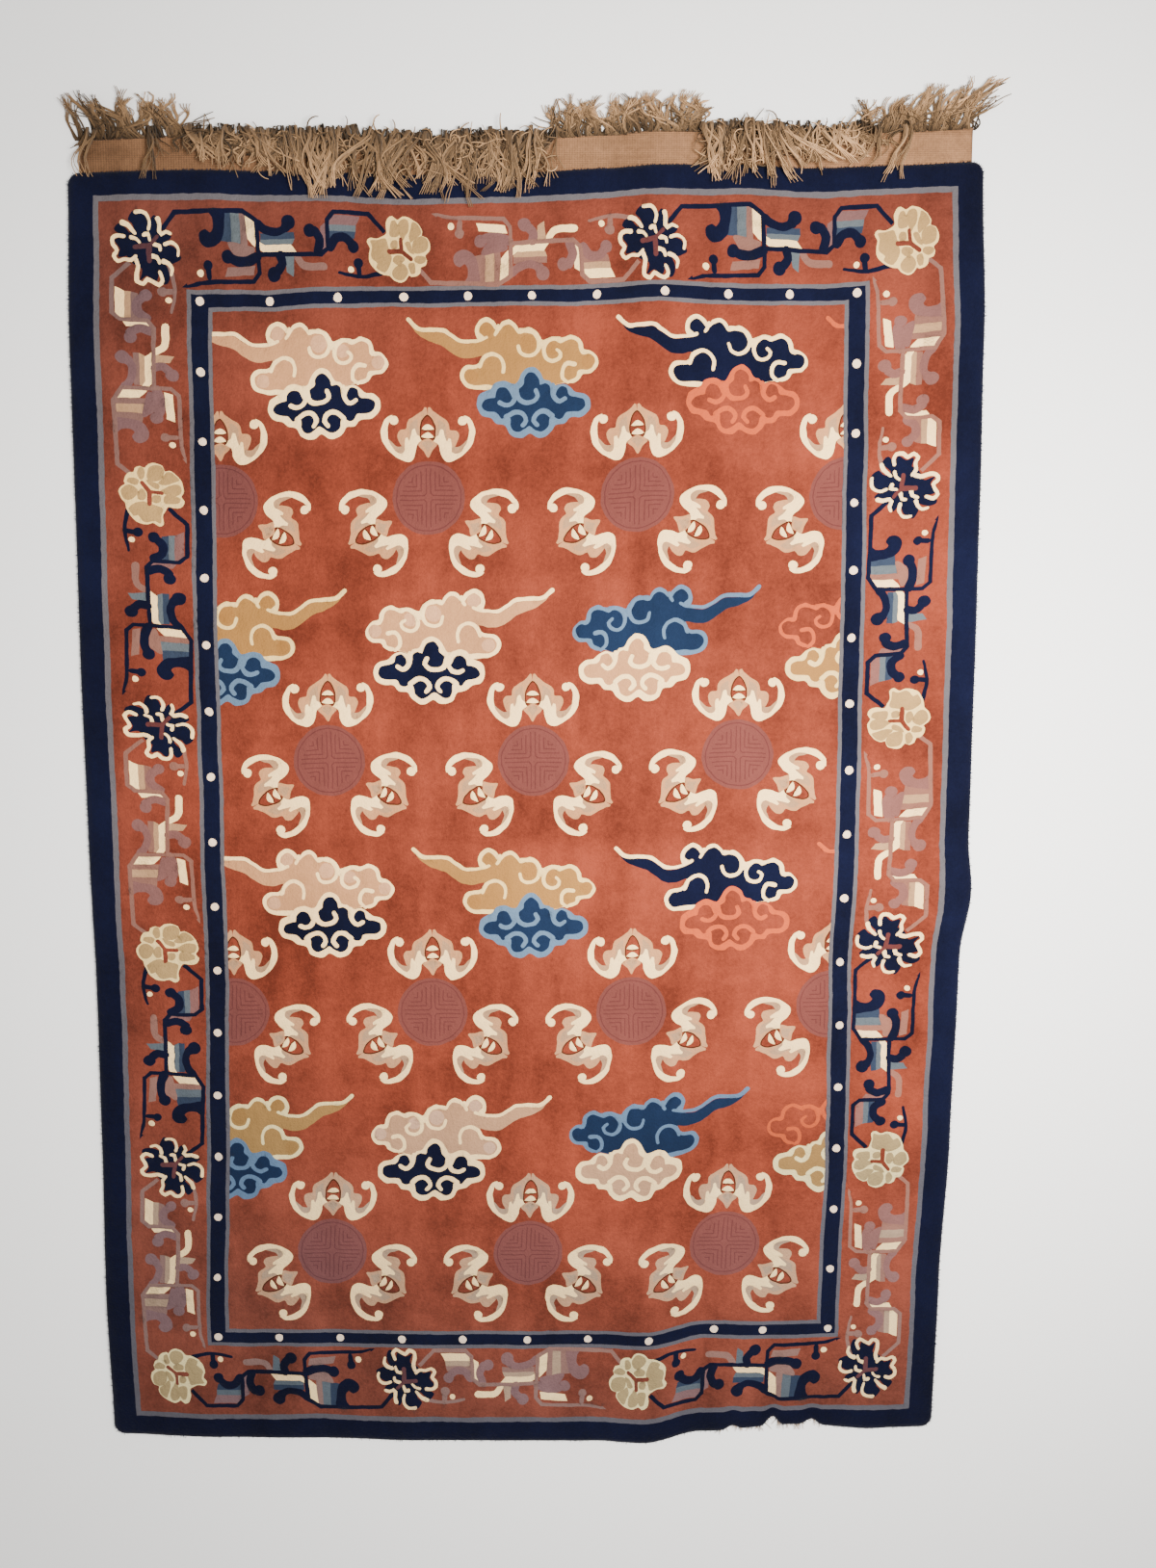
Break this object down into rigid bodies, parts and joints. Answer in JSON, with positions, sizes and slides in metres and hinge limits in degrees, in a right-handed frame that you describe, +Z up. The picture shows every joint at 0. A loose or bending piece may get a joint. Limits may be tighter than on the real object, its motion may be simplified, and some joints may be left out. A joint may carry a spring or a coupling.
{
  "type": "peking rug",
  "caption": "Hand-knotted oblong wool rug with an uneven edge, a woven strip and tousled fringe at one end, laid flat.",
  "frame": {"origin": "underside of the wool body, at the middle of its width and length", "axes": "+Y towards the fringed end, +Z up out of the pile"},
  "size_m": [1.2515, 1.9373, 0.0181],
  "materials": {
    "wool_pile": "cut wool pile in terracotta and navy",
    "cotton_warp": "plain-woven tan cotton with loose warp ends"
  },
  "bodies": {
    "root": {"carpet": "wool_pile", "kilim_fringe": "cotton_warp"}
  },
  "joints": []
}
